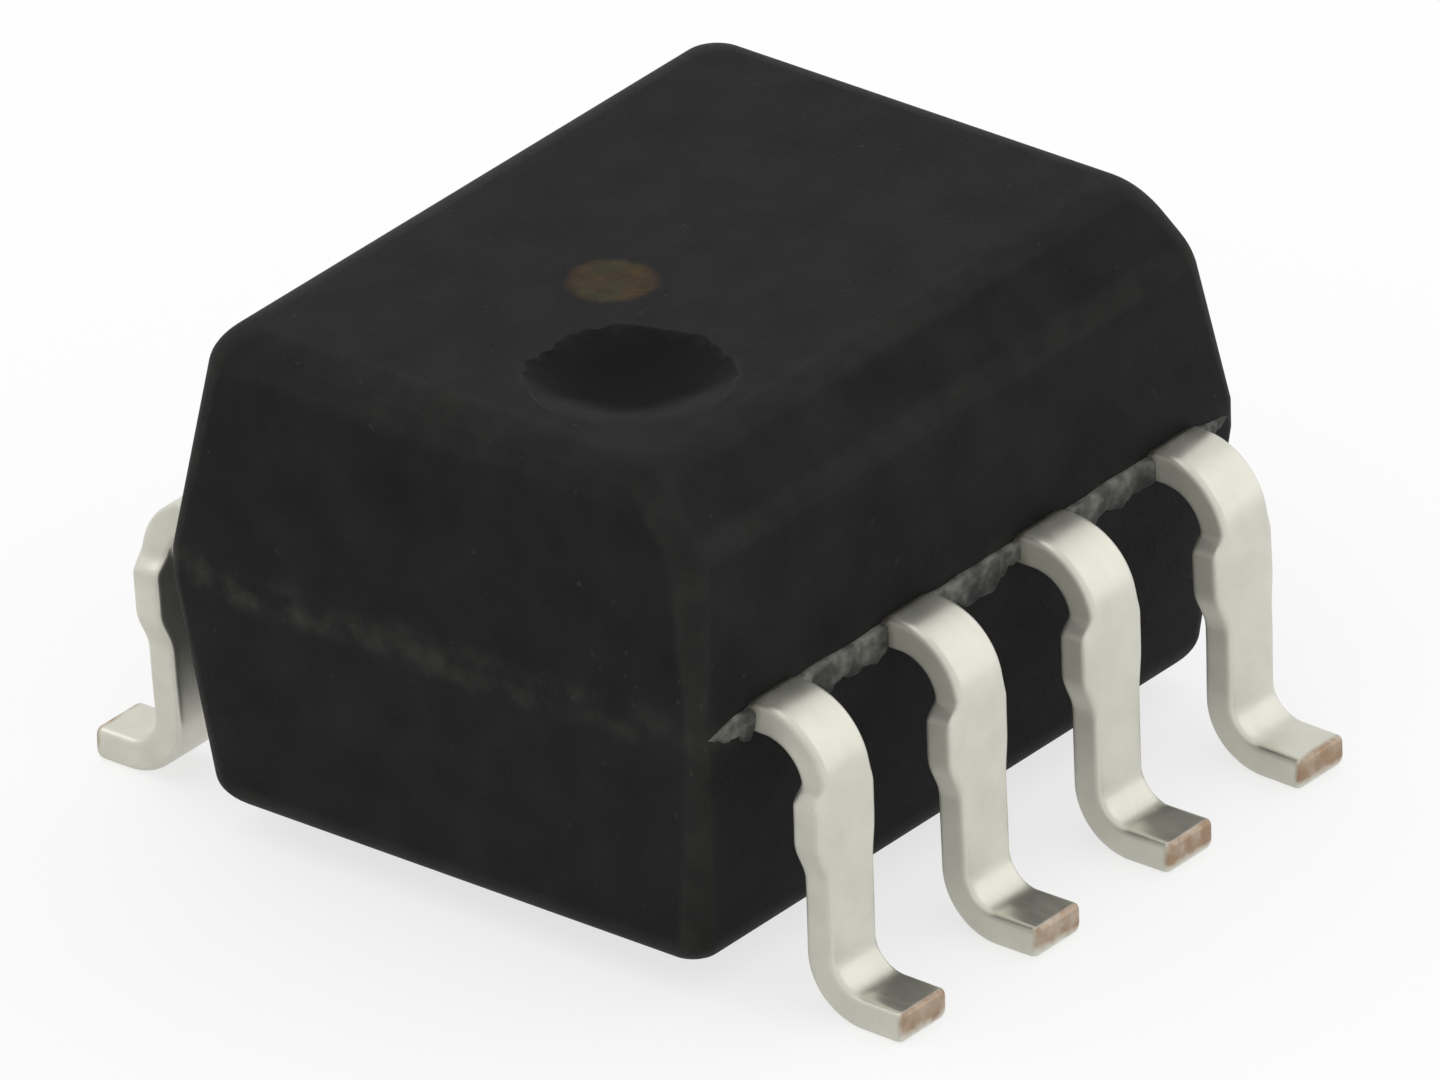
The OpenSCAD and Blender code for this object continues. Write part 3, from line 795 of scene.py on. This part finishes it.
def compound_material(settings, form):
    """Black filled epoxy: cloudy colour, a fine grain, scuffed edges with a painted highlight along every
    rounded edge, a few specks of dust, pale residue along the parting line, painted shade that deepens
    into the dimple, and the printed dot."""
    paint = Paint("mould_compound", IOR=1.3, Specular_IOR_Level=0.09)
    body, pale = tuple(settings.compound), tuple(settings.flash)
    across, up = paint.axis("Y"), paint.axis("Z")
    cloud = paint.noise(size=0.42, detail=6.0)
    grain = paint.noise(size=0.02, detail=5.0, roughness=0.65)
    base = paint.mix(cloud.vary(), shade(body, 0.8), shade(body, 1.25))

    # Scuffed edges, and a painted highlight that pales every rounded edge at least a tenth of the way to
    # pale compound
    wear_and_edge_sheen = paint.number("Fac", "Attribute", attribute_name="wear_and_edge_sheen")
    rubbed_and_sheen = paint.noise(size=0.2, detail=6.0, roughness=0.65).spread(0.35, 0.75, 0.1, 0.32)
    base = paint.mix(wear_and_edge_sheen * rubbed_and_sheen, base, shade(pale, 0.7))
    dust = paint.noise(size=0.06, detail=2.0).spread(0.7, 0.78)
    base = paint.mix(dust * 0.5, base, shade(pale, 0.6))

    parting = (form.band_top + 2 * form.band_bottom) / 3 / MM
    wander = (paint.noise(size=0.5, detail=2.0) - 0.55) * 0.3
    near_line = abs(up + wander - parting).spread(0.18, 0.04, smooth=True)
    crumbs = paint.noise(size=0.24, roughness=0.6).spread(0.42, 0.68)
    thick = across.spread(-1.5, 1.0, 0.3, 0.55)
    base = paint.mix(near_line * crumbs * thick, base, shade(pale, 0.65))

    # Painted shade in the dimple: the compound is darkened the deeper it lies inside the dimple's rim
    depth, reach = settings.dimple_depth / MM, settings.dimple_diameter / 2 / MM
    flat = paint.scaled(paint.where, (1.0, 1.0, 0.0))
    out = paint.distance((settings.dimple_x / MM, settings.dimple_y / MM, 0.0), flat)
    painted_dimple_shade = (form.top / MM - up).spread(0.0, depth * 0.8, smooth=True)
    base = paint.mix(painted_dimple_shade * out.spread(reach + 0.03, reach - 0.02), base, shade(body, 0.8))

    radius = settings.dot_diameter / 2 / MM
    blur = (paint.noise(size=0.1) - 0.5) * 0.1
    out = paint.distance((settings.dot_x / MM, settings.dot_y / MM, form.top / MM)) + blur
    printed = out.spread(radius + 0.02, radius - 0.07, smooth=True)
    patchy = paint.noise(size=0.14).spread(0.3, 0.65, 0.45, 1.0)
    ink = tuple(settings.dot)
    olive = (ink[0] * 0.8, ink[1] * 1.1, ink[2] * 1.1)
    dot = paint.mix(paint.noise(size=0.2, detail=2.0).spread(0.45, 0.62), ink, olive)
    base = paint.mix(printed * patchy, base, dot)
    return paint.finish(base, grain.vary(0.47, 0.62), cloud * 0.8 + grain, 0.005)


def flash_material(settings, form):
    """Thin flash: rough, and in pale and dark patches that are palest along its upper edge."""
    paint = Paint("pale_flash", IOR=1.35, Specular_IOR_Level=0.35)
    cloud = paint.noise(size=0.16, detail=5.0)
    grain = paint.noise(size=0.025)
    broken = paint.axis("Z") + (cloud - 0.5) * 0.5
    thin = broken.spread(form.band_bottom / MM - 0.06, form.band_top / MM - 0.04, smooth=True)
    patches = paint.noise(size=0.1, detail=3.0).spread(0.38, 0.62, 0.25, 1.0)
    dark, pale = shade(tuple(settings.compound), 2.0), shade(tuple(settings.flash), 2.1)
    base = paint.mix(thin * patches, dark, pale)
    return paint.finish(base, grain.vary(0.5, 0.75), cloud + grain * 0.3, 0.014)


def plated_material(settings, form):
    """Satin tin over copper alloy: cloudy tin, drawn faintly along the lead, stained where it leaves the
    moulding, rougher on the sheared sides, and bare copper smeared over the cut end of each foot."""
    paint = Paint("tin_plate", Metallic=0.8)
    tin, copper, stain = tuple(settings.tin), tuple(settings.copper), tuple(settings.stain)
    across, up = paint.axis("Y"), paint.axis("Z")
    cloud = paint.noise(size=0.3)
    streak = paint.noise(size=0.05, place=paint.scaled(paint.where, (1.0, 0.3, 0.18)))
    base = paint.mix(cloud.vary(), shade(tin, 0.92), shade(tin, 1.05))

    root = form.half_width / MM
    out = abs(across) + paint.noise(size=0.14, detail=3.0) * 0.1
    base = paint.mix(out.spread(root + 0.17, root + 0.05, smooth=True) * 0.8, base, stain)

    near_tip, far_tip = (LEAD_TIP + settings.near_tip) / MM, (LEAD_TIP + settings.far_tip) / MM
    patches = paint.noise(size=0.12)
    dragged = (patches - 0.5) * 0.05
    near_cut = (across - dragged).spread(0.05 - near_tip, 0.015 - near_tip)
    far_cut = (across + dragged).spread(far_tip - 0.05, far_tip - 0.015)
    above = (up + patches * 0.1).spread(0.08, 0.14)
    cut = near_cut.larger(far_cut) * above * patches.spread(0.3, 0.6, 0.6, 0.95)
    base = paint.mix(cut, base, paint.mix(streak, shade(copper, 0.8), shade(copper, 1.15)))

    sideways = abs(paint.axis("X", put(paint.tree, "NewGeometry").outputs["Normal"]))
    rough = (cloud + streak).spread(0.7, 1.3, 0.27, 0.39)
    rough = rough.larger(sideways.spread(0.5, 0.85, 0.0, 0.62)).larger(cut * 0.5)
    return paint.finish(base, rough, cloud + streak * 0.3, 0.0018)


def die_material():
    """Polished silicon: blue-grey, with faint mottling."""
    paint = Paint("die_silicon", Metallic=0.6)
    cloud = paint.noise(size=0.12, detail=5.0)
    base = paint.mix(cloud, (0.06, 0.07, 0.10), (0.13, 0.14, 0.19))
    return paint.finish(base, cloud.vary(0.16, 0.3))


def adhesive_material():
    """Silver-filled adhesive: grey flakes in resin."""
    paint = Paint("silver_adhesive", Metallic=0.8)
    flakes = paint.number("Distance", "TexVoronoi", {"Vector": paint.where, "Scale": 1 / 0.02})
    base = paint.mix(flakes.spread(0.1, 0.6), (0.62, 0.62, 0.64), (0.36, 0.36, 0.38))
    return paint.finish(base, flakes.spread(0.1, 0.6, 0.35, 0.6), flakes, 0.003)


def gold_material():
    """Drawn gold wire: warm, with fine drawing marks."""
    paint = Paint("gold_wire", Metallic=1.0)
    marks = paint.noise(size=0.015, detail=5.0)
    base = paint.mix(marks, (0.83, 0.56, 0.22), (0.95, 0.70, 0.32))
    return paint.finish(base, marks.vary(0.18, 0.32))


def clear_material(name, ior, light, deep):
    """A clear solid, cloudy between two tints."""
    paint = Paint(name, IOR=ior, Transmission_Weight=1.0)
    cloud = paint.noise(size=0.3)
    return paint.finish(paint.mix(cloud, light, deep), cloud.vary(0.05, 0.16))


# Stage


def seen_directly(tree):
    """One for rays from the camera, reflections and clear pieces, and nought for lighting."""
    path = put(tree, "LightPath").outputs
    seen = Value(tree, path["Is Camera Ray"])
    return seen.larger(path["Is Glossy Ray"]).larger(path["Is Transmission Ray"])


def studio_floor(settings):
    """A flat square floor a hair under the feet, pale where it is seen, that keeps the part's shadow."""
    half = settings.floor_size / 2
    corners = np.array([[-1, -1], [1, -1], [1, 1], [-1, 1]]) * half
    corners = np.column_stack([corners, np.full(4, -FLOOR_GAP)])
    mesh = bpy.data.meshes.new("studio_floor")
    mesh.from_pydata(corners.tolist(), [], [[0, 1, 2, 3]])
    floor = bpy.data.objects.new("studio_floor", mesh)
    bpy.context.scene.collection.objects.link(floor)
    made = bpy.data.materials.new("pale_floor")
    made.use_nodes = True
    tree = made.node_tree
    tree.nodes.clear()
    seen = seen_directly(tree)
    lit = put(tree, "BsdfDiffuse", {"Color": (*settings.floor, 1)}).outputs[0]
    glow = put(tree, "Emission", {"Color": (1, 1, 1, 1), "Strength": 1.0}).outputs[0]
    shader = put(tree, "MixShader", {0: seen * FLOOR_GLOW, 1: lit, 2: glow}).outputs[0]
    put(tree, "OutputMaterial", {"Surface": shader})
    mesh.materials.append(made)


def studio_world(settings):
    """White where it is seen, and a weaker even light elsewhere."""
    world = bpy.data.worlds.new("studio")
    world.use_nodes = True
    tree = world.node_tree
    tree.nodes.clear()
    light = put(tree, "Background", {"Color": (1, 1, 1, 1), "Strength": settings.ambient}).outputs[0]
    white = put(tree, "Background", {"Color": (1, 1, 1, 1), "Strength": 1.0}).outputs[0]
    shader = put(tree, "MixShader", {0: seen_directly(tree), 1: light, 2: white}).outputs[0]
    put(tree, "OutputWorld", {"Surface": shader})
    bpy.context.scene.world = world


def area_lamp(name, place, target, size, power):
    """A square soft lamp at a place, turned to its target."""
    light = bpy.data.lights.new(name, "AREA")
    light.size = size
    light.energy = power
    lamp = bpy.data.objects.new(name, light)
    lamp.location = place
    lamp.rotation_euler = (Vector(target) - Vector(place)).to_track_quat("-Z", "Y").to_euler()
    bpy.context.scene.collection.objects.link(lamp)


def photo_camera(settings):
    """The photograph's camera: far off with a long lens, turned by azimuth, elevation and roll."""
    turn, rise = settings.azimuth, settings.elevation
    back = Vector((math.sin(turn) * math.cos(rise), -math.cos(turn) * math.cos(rise), math.sin(rise)))
    level = Vector((math.cos(turn), math.sin(turn), 0))
    upright = back.cross(level)
    right = level * math.cos(settings.roll) + upright * math.sin(settings.roll)
    up = upright * math.cos(settings.roll) - level * math.sin(settings.roll)
    target = Vector((0, 0, settings.target_height)) + right * settings.slide_right + up * settings.slide_up
    eye = target + back * settings.distance
    data = bpy.data.cameras.new("camera")
    data.sensor_width = SENSOR_WIDTH
    data.lens = SENSOR_WIDTH * settings.pixels_per_mm * settings.distance / MM / PHOTO_WIDTH
    data.clip_start, data.clip_end = settings.distance / 100, settings.distance * 20
    camera = bpy.data.objects.new("camera", data)
    camera.matrix_world = Matrix((
        (right.x, up.x, back.x, eye.x),
        (right.y, up.y, back.y, eye.y),
        (right.z, up.z, back.z, eye.z),
        (0, 0, 0, 1),
    ))
    bpy.context.scene.collection.objects.link(camera)
    bpy.context.scene.camera = camera


# Operators


class OPTOCOUPLER_OT_moulded_body(bpy.types.Operator):
    """Makes the smooth moulding with its bevel and dimple"""

    bl_idname = "optocoupler.moulded_body"
    bl_label = "Moulded body"

    def execute(self, context):
        settings = context.scene.optocoupler_moulding
        form = Moulding(settings, context.scene.optocoupler_leads.thickness)
        rings = moulding_rings(settings, form)
        material = compound_material(settings, form)
        piece = new_piece(
            "smooth_moulding", [closed_surface(rings)], material, ["moulded_body"]
        )
        # How sharply the moulding turns: it marks where edges are scuffed and where a highlight is painted
        # along them
        wear_and_edge_sheen = np.append((turning(rings) * settings.corner_top).clip(0, 1), [0, 0])
        attribute = piece.data.attributes.new("wear_and_edge_sheen", "FLOAT", "POINT")
        attribute.data.foreach_set("value", wear_and_edge_sheen.astype(np.float32))
        return {"FINISHED"}


class OPTOCOUPLER_OT_flash(bpy.types.Operator):
    """Makes the ragged flash between the leads of each row"""

    bl_idname = "optocoupler.flash"
    bl_label = "Flash"

    def execute(self, context):
        settings = context.scene.optocoupler_moulding
        leads = context.scene.optocoupler_leads
        form = Moulding(settings, leads.thickness)
        material = flash_material(settings, form)
        places = (np.arange(ROW_COUNT) - (ROW_COUNT - 1) / 2) * LEAD_PITCH
        half = leads.width / 2
        sides = np.concatenate([places - half, places + half])
        end = form.half_length - form.corner
        starts = [-end, *(places + half)]
        ends = [*(places - half), end]
        for row, side in (("near", -1), ("far", 1)):
            strips = [
                flash_strip(form, side, a, b, settings.flash_reach, sides, FLASH_SEED + 7 * side + 20 * i)
                for i, (a, b) in enumerate(zip(starts, ends))
            ]
            new_piece(f"flash_{row}_row", strips, material)
        return {"FINISHED"}


class OPTOCOUPLER_OT_formed_leads(bpy.types.Operator):
    """Makes the eight bent leads with their inner frames"""

    bl_idname = "optocoupler.formed_leads"
    bl_label = "Formed leads"

    def execute(self, context):
        settings = context.scene.optocoupler_leads
        form = Moulding(context.scene.optocoupler_moulding, settings.thickness)
        material = plated_material(settings, form)
        for number, node in enumerate(LEAD_NODES):
            far_row = number >= ROW_COUNT
            low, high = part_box(node)
            if far_row:
                low, high = -high, -low
            x = (number % ROW_COUNT - (ROW_COUNT - 1) / 2) * LEAD_PITCH
            inner_end = ARM_EDGE if node.endswith("ground") else -high.y
            stepped = not node.endswith("spare")
            step = (-FRAME_STEP if far_row else FRAME_STEP) if stepped else 0
            lean = settings.far_lean if far_row else settings.near_lean
            tip = LEAD_TIP + (settings.far_tip if far_row else settings.near_tip)
            stubs = (settings.stub_reach, settings.stub_rest)
            stubs = stubs[::-1] if far_row else stubs
            pad = self.pad(node, settings, x, low, high)
            path = lead_path(settings, form, step, inner_end, lean, tip)
            rings = lead_rings(settings, path, lean, stubs, pad, LEAD_SEED + number)
            turn = np.array([-1, -1, 1]) if far_row else np.array([1, 1, 1])
            surfaces = [closed_surface((rings + np.array([x, 0, 0])) * turn)]
            if node.endswith("ground"):
                surfaces.append(self.paddle(node, form, step))
            new_piece(f"formed_{node}", surfaces, material, [node])
        return {"FINISHED"}

    @staticmethod
    def pad(node, settings, x, low, high):
        """Length of the wider part at a lead's inner end, and its reach past the lead's two sides."""
        half = settings.width / 2
        if node.endswith("spare"):
            head = high.x - x
            return head, head - half, head - half
        if node.endswith(("cathode", "supply")):
            return 2 * high.y, x - half - low.x, 0
        if node.endswith("ground"):
            return -2 * ARM_EDGE, 0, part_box(node)[0].x - x - half
        return 0, 0, 0

    @staticmethod
    def paddle(node, form, step):
        """The paddle under the detector, as wide as the frame says."""
        half_length, half_width = -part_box(node)[0].x, -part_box(node)[0].y
        low, high = form.band_bottom + step, form.band_top + step
        return plate(-half_length, half_length, -half_width, half_width, low, high)


class OPTOCOUPLER_OT_inner_finishes(bpy.types.Operator):
    """Gives the dies, adhesives, wires, gels and film their finishes"""

    bl_idname = "optocoupler.inner_finishes"
    bl_label = "Inner finishes"

    def execute(self, context):
        gel = clear_material("clear_gel", 1.41, (0.93, 0.96, 0.97), (0.86, 0.91, 0.93))
        film = clear_material("amber_film", 1.7, (0.80, 0.48, 0.13), (0.70, 0.38, 0.09))
        die, adhesive, gold = die_material(), adhesive_material(), gold_material()
        finishes = {
            "emitter_die": die, "detector_die": die,
            "emitter_attach": adhesive, "detector_attach": adhesive,
            "emitter_gel": gel, "detector_gel": gel,
            "insulating_film": film,
            **{name: gold for name in WIRE_NODES},
        }
        for name, material in finishes.items():
            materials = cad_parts[name].data.materials
            materials.clear()
            materials.append(material)
        return {"FINISHED"}


class OPTOCOUPLER_OT_stage(bpy.types.Operator):
    """Sets the floor, the lamps, the world and the camera"""

    bl_idname = "optocoupler.stage"
    bl_label = "Stage"

    def execute(self, context):
        settings = context.scene.optocoupler_stage
        middle = (0, 0, (BODY_LOW.z + BODY_HIGH.z) / 2)
        studio_floor(settings)
        studio_world(settings)
        area_lamp("key_lamp", KEY_PLACE, middle, KEY_SIZE, settings.key_power)
        area_lamp("fill_lamp", FILL_PLACE, middle, FILL_SIZE, settings.fill_power)
        photo_camera(settings)
        context.scene.view_settings.view_transform = "Standard"
        return {"FINISHED"}


class OPTOCOUPLER_PT_sidebar(bpy.types.Panel):
    """Lists the pieces and their settings"""

    bl_label = "Optocoupler"
    bl_idname = "OPTOCOUPLER_PT_sidebar"
    bl_space_type = "VIEW_3D"
    bl_region_type = "UI"
    bl_category = "Optocoupler"

    def draw(self, context):
        for operator in OPERATORS:
            self.layout.operator(operator.bl_idname)
        for key, kind in SETTINGS.items():
            box = self.layout.box()
            for name in kind.__annotations__:
                box.prop(getattr(context.scene, key), name)


SETTINGS = {
    "optocoupler_moulding": MouldingSettings,
    "optocoupler_leads": LeadSettings,
    "optocoupler_stage": StageSettings,
}
OPERATORS = (
    OPTOCOUPLER_OT_moulded_body,
    OPTOCOUPLER_OT_flash,
    OPTOCOUPLER_OT_formed_leads,
    OPTOCOUPLER_OT_inner_finishes,
    OPTOCOUPLER_OT_stage,
)
CLASSES = (*SETTINGS.values(), *OPERATORS, OPTOCOUPLER_PT_sidebar)


def register():
    for kind in CLASSES:
        bpy.utils.register_class(kind)
    for key, kind in SETTINGS.items():
        setattr(bpy.types.Scene, key, PointerProperty(type=kind))


def unregister():
    for key in SETTINGS:
        delattr(bpy.types.Scene, key)
    for kind in reversed(CLASSES):
        bpy.utils.unregister_class(kind)


def main():
    register()
    bpy.ops.optocoupler.moulded_body()
    bpy.ops.optocoupler.flash()
    bpy.ops.optocoupler.formed_leads()
    bpy.ops.optocoupler.inner_finishes()
    bpy.ops.optocoupler.stage()


if __name__ == "__main__":
    main()
